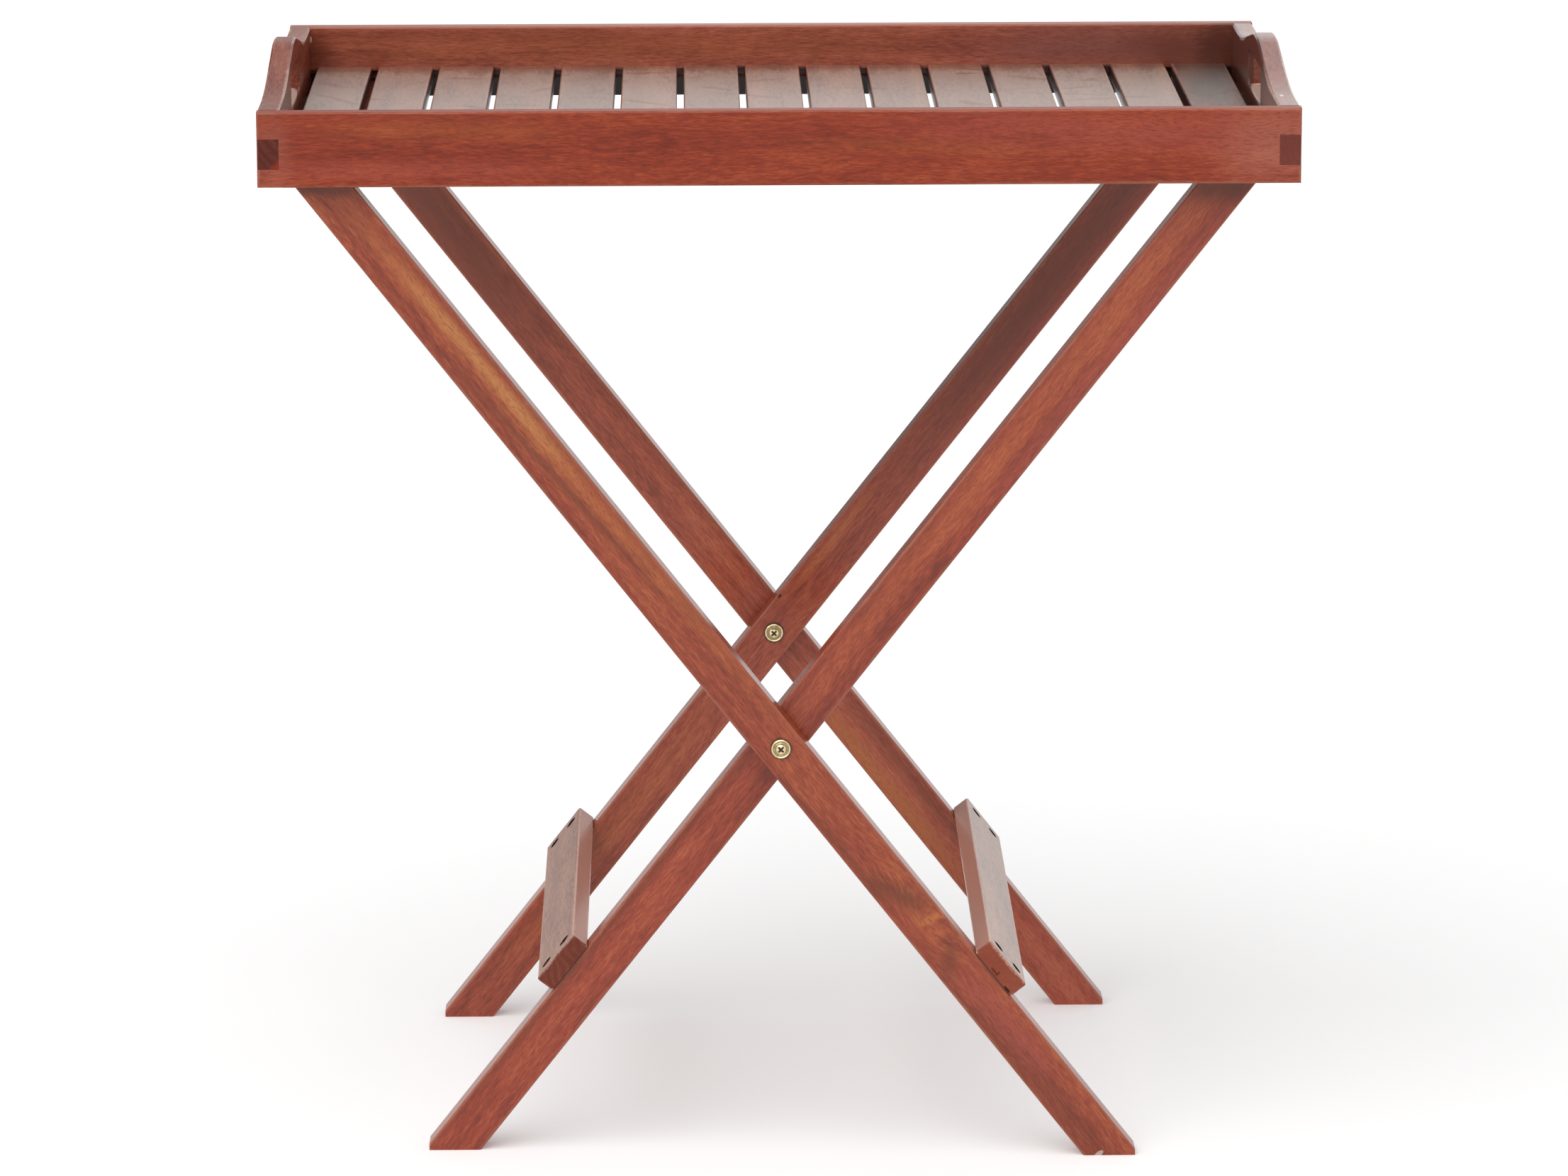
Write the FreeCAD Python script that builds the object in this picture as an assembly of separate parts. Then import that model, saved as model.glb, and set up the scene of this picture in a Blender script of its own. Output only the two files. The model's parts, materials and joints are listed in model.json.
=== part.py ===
import FreeCAD, Part
import math
import os

# Folding tray table in oiled hardwood: a slatted tray with hand slots that lifts off,
# and an X-shaped stand whose two leg frames fold flat about a pair of pivot bolts.
# Millimetres. X runs along the tray, Y is depth (the front is -Y), Z is up, the floor is Z = 0.

# Tray: overall size and stock
tray_length = 620.0
tray_depth = 380.0
rail_height = 45.0
rail_thickness = 12.0
end_thickness = 13.0
well_depth = 26.0
wood_round = 1.3
corner_round = 1.6

# Tray: slats with shouldered ends, whose tongues go into stopped grooves of the long rails
slat_width = 35.0
slat_gap_least = 4.2
slat_thickness = 9.0
tongue_thickness = 4.5
tongue_lift = 2.0
slat_housing = 6.0
slat_end_play = 0.4
groove_play = 0.2

# Tray: end panels with a raised handle, a hand slot and one through finger at each end
handle_rise = 17.3
handle_foot_inset = 66.0
handle_crest_half = 13.0
handle_foot_round = 400.0
handle_crest_round = 90.0
handle_ease = 1.2
slot_length = 92.0
slot_height = 22.0
slot_above_slats = 6.0
slot_corner = 4.0
slot_ease = 1.0
finger_height = 18.0
finger_drop = 16.0
finger_play = 0.05

# Stand: heights, legs and the cross pieces that join each pair of legs
stand_height = 616.0
pivot_height = 258.5
leg_width = 27.5
leg_thickness = 18.0
foot_tip_cut = 3.0
bar_width = 45.0
bar_thickness = 12.0
bar_inset = 2.4
tenon_length = 22.0
tenon_width = 8.0
tenon_height = 8.0
joint_play = 0.1
plank_width = 35.5
plank_thickness = 12.0
plank_drop = 192.0
tray_side_play = 1.0
tray_end_play = 1.0

# Pivots: bolt into a sleeve nut, with a washer between the legs
head_diameter = 12.0
head_height = 3.2
head_flange = 1.0
head_crown = 7.2
sleeve_diameter = 8.0
bolt_diameter = 5.0
bolt_reach = 27.0
sleeve_short = 4.0
thread_relief = 1.0
washer_diameter = 19.0
washer_thickness = 1.5
running_gap = 0.2
bore_play = 0.08
recess_span = 5.6
recess_width = 1.4
recess_depth = 1.3

# Furniture screws: two at each end of the lower planks, driven well under the plank's face
screw_diameter = 7.9
screw_length = 25.0
screw_sink = 5.0
screw_play = 0.05
screw_pitch = 17.5
screw_setback = 12.0

# One overrun for every cut that passes through a face
overrun = 4.0

# Worked-out sizes
half_length = tray_length / 2
half_depth = tray_depth / 2
inner_half_length = half_length - end_thickness
inner_half_depth = half_depth - rail_thickness
slat_top = stand_height + slat_thickness
rail_top = slat_top + well_depth
rail_bottom = rail_top - rail_height
slat_count = int((2 * inner_half_length - slat_gap_least) / (slat_width + slat_gap_least))
slat_gap = (2 * inner_half_length - slat_count * slat_width) / (slat_count + 1)
slat_pitch = slat_width + slat_gap
slat_half_span = (slat_count * slat_width + (slat_count - 1) * slat_gap) / 2
tongue_bottom = stand_height + tongue_lift
tongue_top = tongue_bottom + tongue_thickness
handle_foot_half = inner_half_depth - handle_foot_inset
finger_top = rail_top - finger_drop
finger_bottom = finger_top - finger_height
slot_bottom = slat_top + slot_above_slats
slot_top = slot_bottom + slot_height

outer_face = inner_half_depth - tray_side_play
outer_inside = outer_face - leg_thickness
inner_face = outer_inside - washer_thickness - running_gap
inner_inside = inner_face - leg_thickness

bar_bottom = stand_height - bar_thickness
bar_outer_edge = inner_half_length - tray_end_play
bar_inner_edge = bar_outer_edge - bar_width

# The legs lean so that their inner edge meets the bar's underside just inside the bar's inner edge
leg_rise = bar_bottom - pivot_height
leg_edge_reach = bar_inner_edge + bar_inset
leg_lean = math.atan2(leg_edge_reach, leg_rise)
leg_lean += math.asin(leg_width / 2 / math.hypot(leg_edge_reach, leg_rise))
leg_half_cut = leg_width / 2 / math.cos(leg_lean)
foot_reach = pivot_height * math.tan(leg_lean)
leg_top_reach = leg_rise * math.tan(leg_lean)
leg_run = math.hypot(leg_rise, leg_top_reach) + leg_width + overrun
foot_run = math.hypot(pivot_height, foot_reach) + leg_width + overrun


def vector(x, y, z):
    return FreeCAD.Vector(x, y, z)


def save(shape, node):
    """write one piece to its own file"""
    shape.exportStep("parts/" + node + ".step")
    print(node, len(shape.Solids), round(shape.Volume, 1), shape.isValid())


def rounded_face(corners, place):
    """flat face through the corners (u, v, radius), each rounded by a tangent arc of its radius"""
    edges = []
    joints = []
    points = [vector(u, v, 0) for u, v, radius in corners]
    for index, (u, v, radius) in enumerate(corners):
        here = points[index]
        back = (points[index - 1] - here).normalize()
        ahead = (points[(index + 1) % len(points)] - here).normalize()
        half_angle = back.getAngle(ahead) / 2
        tangent = radius / math.tan(half_angle)
        middle = here + (back + ahead).normalize() * (radius / math.sin(half_angle) - radius)
        joints.append((here + back * tangent, middle, here + ahead * tangent, radius))
    for index, (start, middle, end, radius) in enumerate(joints):
        if radius > 0:
            edges.append(Part.Arc(place(start), place(middle), place(end)).toShape())
        following = joints[(index + 1) % len(joints)][0]
        if end.distanceToPoint(following) > Part.Precision.confusion():
            edges.append(Part.LineSegment(place(end), place(following)).toShape())
    return Part.Face(Part.Wire(edges))


def rectangle(u0, v0, u1, v1, radius, lower=None):
    """corners of an upright rectangle, rounded alike unless the lower two have a radius of their own"""
    if lower is None:
        lower = radius
    return [(u0, v0, lower), (u1, v0, lower), (u1, v1, radius), (u0, v1, radius)]


def board_along_x(x0, x1, y0, y1, z0, z1):
    """planed board with eased long edges, grain along X"""
    section = rounded_face(rectangle(y0, z0, y1, z1, wood_round), lambda p: vector(x0, p.x, p.y))
    return section.extrude(vector(x1 - x0, 0, 0))


def board_along_y(x0, x1, y0, y1, z0, z1, lower=None):
    """planed board with eased long edges, grain along Y"""
    section = rectangle(x0, z0, x1, z1, wood_round, lower)
    return rounded_face(section, lambda p: vector(p.x, y0, p.y)).extrude(vector(0, y1 - y0, 0))


def box(x0, x1, y0, y1, z0, z1):
    """plain block between two corners"""
    return Part.makeBox(x1 - x0, y1 - y0, z1 - z0, vector(x0, y0, z0))


def turned(profile):
    """solid of revolution about Z through (radius, height, radius of the corner) points"""
    face = rounded_face(profile, lambda p: vector(p.x, 0, p.y))
    return face.revolve(vector(0, 0, 0), vector(0, 0, 1), 360)


def tray_outside():
    """block of the tray's footprint with its four upright corners eased, as sanded after gluing"""
    low = rail_bottom - overrun
    high = rail_top + handle_rise + overrun
    plan = rectangle(-half_length, -half_depth, half_length, half_depth, corner_round)
    return rounded_face(plan, lambda p: vector(p.x, p.y, low)).extrude(vector(0, 0, high - low))


def long_rail(side, outside):
    """front (side -1) or back (side 1) rail: end notches for the fingers, groove for the slat ends"""
    faces = sorted((side * inner_half_depth, side * half_depth))
    rail = board_along_x(-half_length, half_length, faces[0], faces[1], rail_bottom, rail_top)
    for end in (-1, 1):
        ends = sorted((end * (inner_half_length - finger_play), end * (half_length + overrun)))
        rail = rail.cut(box(ends[0], ends[1], faces[0] - overrun, faces[1] + overrun,
                            finger_bottom - finger_play, finger_top + finger_play))
    depth = sorted((side * (inner_half_depth - overrun), side * (inner_half_depth + slat_housing)))
    reach = slat_half_span + groove_play
    rail = rail.cut(box(-reach, reach, depth[0], depth[1], tongue_bottom, tongue_top + groove_play))
    return rail.common(outside)


def end_panel(side, outside):
    """left (side -1) or right (side 1) end: raised handle, hand slot and a finger through each rail"""
    outline = [
        (-inner_half_depth, rail_bottom, 0),
        (inner_half_depth, rail_bottom, 0),
        (inner_half_depth, finger_bottom, 0),
        (half_depth, finger_bottom, 0),
        (half_depth, finger_top, 0),
        (inner_half_depth, finger_top, 0),
        (inner_half_depth, rail_top, 0),
        (handle_foot_half, rail_top, handle_foot_round),
        (handle_crest_half, rail_top + handle_rise, handle_crest_round),
        (-handle_crest_half, rail_top + handle_rise, handle_crest_round),
        (-handle_foot_half, rail_top, handle_foot_round),
        (-inner_half_depth, rail_top, 0),
        (-inner_half_depth, finger_top, 0),
        (-half_depth, finger_top, 0),
        (-half_depth, finger_bottom, 0),
        (-inner_half_depth, finger_bottom, 0),
    ]
    faces = sorted((side * inner_half_length, side * half_length))
    blank = rounded_face(outline, lambda p: vector(faces[0], p.x, p.y))
    panel = blank.extrude(vector(end_thickness, 0, 0)).common(outside)
    panel = panel.makeChamfer(handle_ease, top_edges(panel))
    slot = rectangle(-slot_length / 2, slot_bottom, slot_length / 2, slot_top, slot_corner)
    start = faces[0] - overrun
    opening = rounded_face(slot, lambda p: vector(start, p.x, p.y))
    panel = panel.cut(opening.extrude(vector(end_thickness + 2 * overrun, 0, 0)))
    return panel.makeChamfer(slot_ease, slot_edges(panel))


def top_edges(panel):
    """the edges along the panel's top outline, on both faces"""
    chosen = []
    for edge in panel.Edges:
        bounds = edge.BoundBox
        if bounds.XLength < Part.Precision.confusion() and bounds.ZMin > rail_top - handle_ease:
            chosen.append(edge)
    return chosen


def slot_edges(panel):
    """the edges round the hand slot, on both faces"""
    chosen = []
    for edge in panel.Edges:
        bounds = edge.BoundBox
        across = abs(bounds.Center.y) < slot_length / 2 + slot_ease
        upright = slot_bottom - slot_ease < bounds.ZMin and bounds.ZMax < slot_top + slot_ease
        if bounds.XLength < Part.Precision.confusion() and across and upright:
            chosen.append(edge)
    return chosen


def slat(index):
    """one slat, counted from the left: eased upper edges, and a tongue at each end for the groove"""
    left = -slat_half_span + index * slat_pitch
    right = left + slat_width
    board = board_along_y(left, right, -inner_half_depth, inner_half_depth, stand_height, slat_top, lower=0)
    reach = inner_half_depth + slat_housing - slat_end_play
    tongues = box(left, right, -reach, reach, tongue_bottom, tongue_top)
    return board.fuse(tongues).removeSplitter()


def furniture_screw():
    """screw of one diameter with no separate head, pointing down from Z = 0"""
    return Part.makeCylinder(screw_diameter / 2, screw_length, vector(0, 0, -screw_length))


def screw_hole():
    """blind hole for a furniture screw, with its play, open above"""
    deep = screw_length + screw_play
    mouth = screw_sink + overrun
    return Part.makeCylinder(screw_diameter / 2 + screw_play, deep + mouth, vector(0, 0, -deep))


def leaned(shape, side):
    """turn a piece modelled on an upright leg at the origin to the frame's lean, at the pivot height"""
    turned_piece = shape.copy()
    turned_piece.rotate(vector(0, 0, 0), vector(0, -1, 0), side * math.degrees(leg_lean))
    turned_piece.translate(vector(0, 0, pivot_height))
    return turned_piece


def upright_leg(y0, y1):
    """leg stock with eased edges along an upright leg through the origin, longer than the leg"""
    section = rectangle(-leg_width / 2, y0, leg_width / 2, y1, wood_round)
    face = rounded_face(section, lambda p: vector(p.x, p.y, -foot_run))
    return face.extrude(vector(0, 0, foot_run + leg_run))


def tenon(side, middle, play):
    """block on a leg's top that goes into the bar, or its mortise when there is play"""
    long_half = tenon_length / 2 + play
    wide_half = tenon_width / 2 + play
    x = -side * leg_top_reach
    return box(x - long_half, x + long_half, middle - wide_half, middle + wide_half,
               bar_bottom, bar_bottom + tenon_height + play)


def leg(side, y0, y1, holes):
    """leaning leg cut level at the floor and under the bar, tenoned at the top, the foot's sharp tip off"""
    stock = leaned(upright_leg(y0, y1), side)
    tip = foot_reach + leg_half_cut - foot_tip_cut
    reach = sorted((side * tip, -side * (tip + leg_run)))
    room = box(reach[0], reach[1], y0 - overrun, y1 + overrun, 0, bar_bottom)
    leg_piece = stock.common(room).fuse(tenon(side, (y0 + y1) / 2, 0))
    for hole in holes:
        leg_piece = leg_piece.cut(hole)
    bore = Part.makeCylinder(sleeve_diameter / 2 + bore_play, leg_thickness + 2 * overrun,
                             vector(0, y0 - overrun, pivot_height), vector(0, 1, 0))
    return leg_piece.cut(bore)


def plank_screws(side, reach, tool):
    """the screws, or their holes, of a lower plank: square to it, two in line along the leg at each end"""
    pieces = []
    seat = side * (leg_width / 2 + plank_thickness - screw_sink)
    for y in (screw_setback - reach, reach - screw_setback):
        for step in (-screw_pitch / 2, screw_pitch / 2):
            piece = tool.copy()
            piece.rotate(vector(0, 0, 0), vector(0, 1, 0), side * 90)
            piece.translate(vector(seat, y, step - plank_drop))
            pieces.append(leaned(piece, side))
    return pieces


def lower_plank(side, reach, holes):
    """flat plank across a pair of legs, on their upper edges, with holes for its screws"""
    faces = sorted((side * leg_width / 2, side * (leg_width / 2 + plank_thickness)))
    low = -plank_drop - plank_width / 2
    plank = leaned(board_along_y(faces[0], faces[1], -reach, reach, low, low + plank_width), side)
    for hole in holes:
        plank = plank.cut(hole)
    return plank


def top_bar(side, reach, middle):
    """flat bar across a pair of leg tops: the tray rests on it, and the tray's end keeps it from spreading"""
    edges = sorted((-side * bar_inner_edge, -side * bar_outer_edge))
    bar = board_along_y(edges[0], edges[1], -reach, reach, bar_bottom, stand_height, lower=0)
    for y in (-middle, middle):
        bar = bar.cut(tenon(side, y, joint_play))
    return bar


def driven_head():
    """low tapered head with a thin flange, standing on Z = 0, with a cross recess in its crown"""
    flange = head_diameter / 2
    head = turned([
        (0, 0, 0),
        (flange, 0, 0),
        (flange, head_flange, 0),
        (head_crown / 2, head_height, 0),
        (0, head_height, 0),
    ])
    floor = head_height - recess_depth
    for span, width in ((recess_span, recess_width), (recess_width, recess_span)):
        head = head.cut(box(-span / 2, span / 2, -width / 2, width / 2, floor, head_height + overrun))
    return head


def facing(shape, outward, face):
    """turn a fastener modelled along Z so that its head looks along Y, seated on the face at the pivot"""
    piece = shape.copy()
    piece.rotate(vector(0, 0, 0), vector(1, 0, 0), -outward * 90)
    piece.translate(vector(0, face, pivot_height))
    return piece


def pivot_bolt(outward):
    """bolt whose head sits on the outer leg and whose shank screws into the sleeve nut"""
    shank = Part.makeCylinder(bolt_diameter / 2, bolt_reach, vector(0, 0, -bolt_reach))
    return facing(driven_head().fuse(shank).removeSplitter(), outward, outward * outer_face)


def sleeve_nut(outward):
    """sleeve through both legs, headed inside the inner leg, which turns on it"""
    grip = outer_face - inner_inside + running_gap
    length = grip - sleeve_short
    floor = grip - bolt_reach - thread_relief
    sleeve = Part.makeCylinder(sleeve_diameter / 2, length, vector(0, 0, -length))
    thread = Part.makeCylinder(bolt_diameter / 2 + screw_play, length + overrun - floor,
                               vector(0, 0, -length - overrun))
    nut = driven_head().fuse(sleeve).removeSplitter().cut(thread)
    return facing(nut, -outward, outward * (inner_inside - running_gap))


def spacer(outward):
    """washer that keeps the two legs of a pivot apart"""
    ring = Part.makeCylinder(washer_diameter / 2, washer_thickness, vector(0, 0, -washer_thickness))
    ring = ring.cut(Part.makeCylinder(sleeve_diameter / 2 + bore_play, washer_thickness + 2 * overrun,
                                      vector(0, 0, -washer_thickness - overrun)))
    return facing(ring, outward, outward * outer_inside)


def leg_frame(name, side, face, inside):
    """two legs, their lower plank and top bar, and the plank's screws; side 1 leans like a backslash"""
    holes = plank_screws(side, face, screw_hole())
    save(leg(side, -face, -inside, holes), name + "_front_leg")
    save(leg(side, inside, face, holes), name + "_back_leg")
    save(lower_plank(side, face, holes), name + "_lower_plank")
    save(top_bar(side, face, (face + inside) / 2), name + "_top_bar")
    save(Part.Compound(plank_screws(side, face, furniture_screw())), name + "_plank_screws")


os.makedirs("parts", exist_ok=True)

footprint = tray_outside()
save(long_rail(-1, footprint), "tray_front_rail")
save(long_rail(1, footprint), "tray_back_rail")
save(end_panel(-1, footprint), "tray_left_end")
save(end_panel(1, footprint), "tray_right_end")
for number in range(slat_count):
    save(slat(number), "slat_%02d" % (number + 1))

leg_frame("outer", 1, outer_face, outer_inside)
leg_frame("inner", -1, inner_face, inner_inside)

save(Part.Compound([pivot_bolt(-1), pivot_bolt(1)]), "pivot_bolts")
save(Part.Compound([sleeve_nut(-1), sleeve_nut(1)]), "pivot_sleeve_nuts")
save(Part.Compound([spacer(-1), spacer(1)]), "pivot_washers")

print("lean of the legs", round(math.degrees(leg_lean), 3), "slat gap", round(slat_gap, 3))
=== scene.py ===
# %% [markdown]
# # A folding tray table of stained hardwood
# The table is a slatted tray, carried like a butler's tray by two raised end handles, on a stand of
# two crossed leg frames that fold about a pair of brass pivot bolts. The pieces come from the
# packed model at their real size and place. This lesson gives them their looks: the stain, grain
# and wear of each stick of wood, the brass of the pivots, and a plain studio around them.

# %% Load the packed model
import json
import math
from collections import namedtuple

import bpy
import numpy as np
from mathutils import Matrix, Vector


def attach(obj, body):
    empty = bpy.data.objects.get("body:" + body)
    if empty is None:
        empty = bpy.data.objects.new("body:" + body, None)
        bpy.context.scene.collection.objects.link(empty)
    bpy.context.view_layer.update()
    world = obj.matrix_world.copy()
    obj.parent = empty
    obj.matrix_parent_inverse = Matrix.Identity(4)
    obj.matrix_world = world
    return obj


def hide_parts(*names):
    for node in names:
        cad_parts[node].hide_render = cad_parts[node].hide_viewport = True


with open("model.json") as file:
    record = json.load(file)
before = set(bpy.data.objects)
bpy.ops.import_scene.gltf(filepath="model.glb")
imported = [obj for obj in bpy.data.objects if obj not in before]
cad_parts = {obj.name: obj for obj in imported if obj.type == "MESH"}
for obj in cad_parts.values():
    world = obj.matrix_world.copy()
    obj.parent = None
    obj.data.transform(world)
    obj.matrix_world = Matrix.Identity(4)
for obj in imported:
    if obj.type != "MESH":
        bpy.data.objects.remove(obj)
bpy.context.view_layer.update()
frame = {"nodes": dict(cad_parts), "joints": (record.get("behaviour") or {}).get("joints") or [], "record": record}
nodes = frame["nodes"]

# %% [markdown]
# ## The camera
# The photograph was taken from well in front with a long lens, a little above the tray. The place
# and the turn of the camera were fitted to the edges of the tray, the legs and the feet, so here
# they are only numbers: a point, three angles, and a focal length counted in pixels of the frame.
# Blender wants that length in millimetres on its sensor, so the two are in proportion.

# %% Camera
frame_width_px = 2212
focal_px = 9755.2
camera_place = Vector((-0.0554, -4.2495, 1.2630))
camera_yaw, camera_pitch, camera_roll = (math.radians(a) for a in (0.809, -12.522, -0.140))


def camera_turn(yaw, pitch, roll):
    """The camera's axes as columns: right and up, turned by roll about the line of sight, and back.
    The line of sight starts along +Y, is swung by yaw towards +X and tipped up by pitch."""
    sight = Vector((math.sin(yaw) * math.cos(pitch), math.cos(yaw) * math.cos(pitch), math.sin(pitch)))
    level = Vector((math.cos(yaw), -math.sin(yaw), 0.0))
    upright = level.cross(sight)
    right = math.cos(roll) * level + math.sin(roll) * upright
    up = math.cos(roll) * upright - math.sin(roll) * level
    return Matrix((right, up, -sight)).transposed()


lens = bpy.data.cameras.new("camera")
lens.sensor_fit = "HORIZONTAL"
lens.lens = lens.sensor_width * focal_px / frame_width_px
lens.clip_end = 100.0
camera = bpy.data.objects.new("camera", lens)
camera.matrix_world = (Matrix.Translation(camera_place)
                       @ camera_turn(camera_yaw, camera_pitch, camera_roll).to_4x4())
bpy.context.scene.collection.objects.link(camera)
bpy.context.scene.camera = camera
print("lens in mm:", round(lens.lens, 1))

# %% [markdown]
# ## Shader maths as formulas
# A wood grain is a formula of where a point lies in the stick: how far along, across and through
# it. Wiring that by hand takes dozens of nodes, so a small class wraps a socket and lets Python's
# operators add the Math nodes. Every other node comes from its one method, node().

# %% A wire that does arithmetic


class Wire:
    """A socket of a node tree that carries a number, a vector or a colour."""

    def __init__(self, tree, socket=None):
        self.tree = tree
        self.socket = socket

    def node(self, kind, settings=None, sockets=None, out=0):
        """Any node: its settings first (stops belong to a ramp), then values or wires for its sockets."""
        made = self.tree.nodes.new(kind)
        for name, value in (settings or {}).items():
            if name == "stops":
                ramp = made.color_ramp.elements
                while len(ramp) < len(value):
                    ramp.new(1.0)
                for stop, (at, colour) in zip(ramp, value):
                    stop.position = at
                    stop.color = (*colour, 1.0)
            else:
                setattr(made, name, value)
        for name, value in (sockets or {}).items():
            if isinstance(value, Wire):
                self.tree.links.new(value.socket, made.inputs[name])
            else:
                made.inputs[name].default_value = value
        return Wire(self.tree, made.outputs[out] if made.outputs else None)

    def math(self, operation, first, second=0.0):
        return self.node("ShaderNodeMath", {"operation": operation}, {0: first, 1: second})

    def __add__(self, other):
        return self.math("ADD", self, other)

    def __radd__(self, other):
        return self.math("ADD", other, self)

    def __sub__(self, other):
        return self.math("SUBTRACT", self, other)

    def __rsub__(self, other):
        return self.math("SUBTRACT", other, self)

    def __mul__(self, other):
        return self.math("MULTIPLY", self, other)

    def __rmul__(self, other):
        return self.math("MULTIPLY", other, self)

    def __truediv__(self, other):
        return self.math("DIVIDE", self, other)

    def __pow__(self, other):
        return self.math("POWER", self, other)

    def __abs__(self):
        return self.math("ABSOLUTE", self)

    def least(self, other):
        return self.math("MINIMUM", self, other)

    def most(self, other):
        return self.math("MAXIMUM", self, other)

    def parts(self):
        """The three numbers of a wire that carries a vector."""
        split = self.node("ShaderNodeSeparateXYZ", {}, {0: self})
        return [Wire(self.tree, part) for part in split.socket.node.outputs]

    def rise(self, low, high):
        """Goes smoothly from 0 at low to 1 at high, and stays there. With low above high it falls."""
        return self.node("ShaderNodeMapRange", {"interpolation_type": "SMOOTHSTEP"},
                         {"Value": self, "From Min": low, "From Max": high})

    def blend(self, colour, other):
        """The first colour where this wire is 0, the other where it is 1. A Mix node's sockets for colours
        are its seventh and eighth, and its third output."""
        first, second = ((*c, 1.0) if isinstance(c, tuple) else c for c in (colour, other))
        return self.node("ShaderNodeMix", {"data_type": "RGBA"}, {0: self, 6: first, 7: second}, out=2)


def new_material(name):
    """An empty node material and a bare wire on its tree to start formulas from."""
    material = bpy.data.materials.new(name)
    material.use_nodes = True
    material.node_tree.nodes.clear()
    return material, Wire(material.node_tree)


print("methods of a wire:", [n for n in vars(Wire) if not n.startswith("__")])

# %% [markdown]
# ## The studio
# The photograph is a cut-out on white. A pale floor that reaches past the frame gives that white
# and still takes the table's soft shadow. The light is a wide sun from above and in front, as soft
# as a large diffuser, with the white room around it. Rays that come from the camera, or off a
# polished face, see the room at a strength of exactly 1, which is white, however much light it
# sheds. Far behind stands a card that is shaded towards the left. Only polished faces see it: it
# leaves the edges that look left darker than those that look right, as in the photograph.

# %% Floor
floor_half = 30.0
floor_albedo = 0.90
floor_glow = 0.16


def seen_directly(start):
    """1 for a ray from the camera, off a polished face or through glass, and 0 for one that only sheds
    light."""
    path = start.node("ShaderNodeLightPath")
    outs = path.socket.node.outputs
    camera_ray, glossy_ray, clear_ray = (
        Wire(start.tree, outs[n]) for n in ("Is Camera Ray", "Is Glossy Ray", "Is Transmission Ray"))
    return camera_ray.most(glossy_ray).most(clear_ray)


def floor_finish():
    """Matt pale paper that also glows a little to a ray that sees it directly."""
    material, start = new_material("paper_floor")
    paper = start.node("ShaderNodeBsdfDiffuse", {}, {"Color": (floor_albedo,) * 3 + (1.0,)})
    glow = start.node("ShaderNodeEmission", {}, {"Color": (1.0, 1.0, 1.0, 1.0),
                                                 "Strength": floor_glow * seen_directly(start)})
    both = start.node("ShaderNodeAddShader", {}, {0: paper, 1: glow})
    start.node("ShaderNodeOutputMaterial", {}, {"Surface": both})
    return material


def new_piece(name, points, faces, material, smooth=True):
    """A mesh object at the origin from arrays of points and of faces."""
    mesh = bpy.data.meshes.new(name)
    mesh.from_pydata(np.asarray(points).tolist(), [], np.asarray(faces).tolist())
    mesh.polygons.foreach_set("use_smooth", np.full(len(mesh.polygons), smooth))
    mesh.materials.append(material)
    piece = bpy.data.objects.new(name, mesh)
    bpy.context.scene.collection.objects.link(piece)
    return piece


corners = floor_half * np.array([(-1, -1, 0), (1, -1, 0), (1, 1, 0), (-1, 1, 0)])
floor = new_piece("floor", corners, [(0, 1, 2, 3)], floor_finish(), smooth=False)
print("floor spans", 2 * floor_half, "m")

# %% Room
room_light = 0.55
world = bpy.data.worlds.new("white_room")
world.use_nodes = True
world.node_tree.nodes.clear()
room = Wire(world.node_tree)
seen = seen_directly(room)
sky = room.node("ShaderNodeBackground", {}, {"Color": (1.0, 1.0, 1.0, 1.0),
                                            "Strength": room_light + (1.0 - room_light) * seen})
room.node("ShaderNodeOutputWorld", {}, {"Surface": sky})
bpy.context.scene.world = world
print("room sheds light at", room_light, "and is seen at 1")

# %% Card and lamp
card_behind, card_half, card_height = 5.4, 8.0, 4.0
card_dark, card_from, card_to = 0.08, -1.30, -0.10
card_points = np.array([(-card_half, card_behind, 0), (card_half, card_behind, 0),
                        (card_half, card_behind, card_height), (-card_half, card_behind, card_height)])
card_paint, start = new_material("shaded_card")
left_to_right, _, _ = start.node("ShaderNodeTexCoord", out="Object").parts()
shade = start.node("ShaderNodeEmission", {}, {
    "Strength": card_dark + (1.0 - card_dark) * left_to_right.rise(card_from, card_to)})
start.node("ShaderNodeOutputMaterial", {}, {"Surface": shade})
card = new_piece("card", card_points, [(0, 1, 2, 3)], card_paint, smooth=False)
card.visible_camera = card.visible_diffuse = card.visible_shadow = False

lamp_strength = 1.9
lamp_spread = math.radians(70)
lamp_from = Vector((-0.30, -0.62, 0.90))
lamp_data = bpy.data.lights.new("diffuser", "SUN")
lamp_data.energy = lamp_strength
lamp_data.angle = lamp_spread
lamp = bpy.data.objects.new("diffuser", lamp_data)
lamp.rotation_euler = lamp_from.to_track_quat("Z", "Y").to_euler()
bpy.context.scene.collection.objects.link(lamp)
bpy.context.scene.view_settings.view_transform = "Standard"
print("lamp shines from", [round(c, 2) for c in lamp_from])

# %% [markdown]
# ## Where each stick lies
# A stick's grain runs along it, so each piece gets its own axes: u along the grain, v across its
# width and w through its thickness, in millimetres from its middle. A Mapping node can centre and
# turn the object's coordinates like that, and it also scales metres to millimetres. The legs lean,
# and their lean follows from the pivot's height and the reach of the feet.

# %% Axes of the pieces
pivot = Vector(frame["joints"][0]["pos_m"])
foot = Vector(next(m["pos_m"] for m in frame["record"]["mounts"] if m["name"] == "feet"))
lean = math.atan2(foot.x, pivot.z)
metres_per_mm = 0.001


def points_of(node):
    """The corner points of a carried-over piece as rows of an array, in metres."""
    points = np.empty(3 * len(nodes[node].data.vertices))
    nodes[node].data.vertices.foreach_get("co", points)
    return points.reshape(-1, 3)


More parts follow.
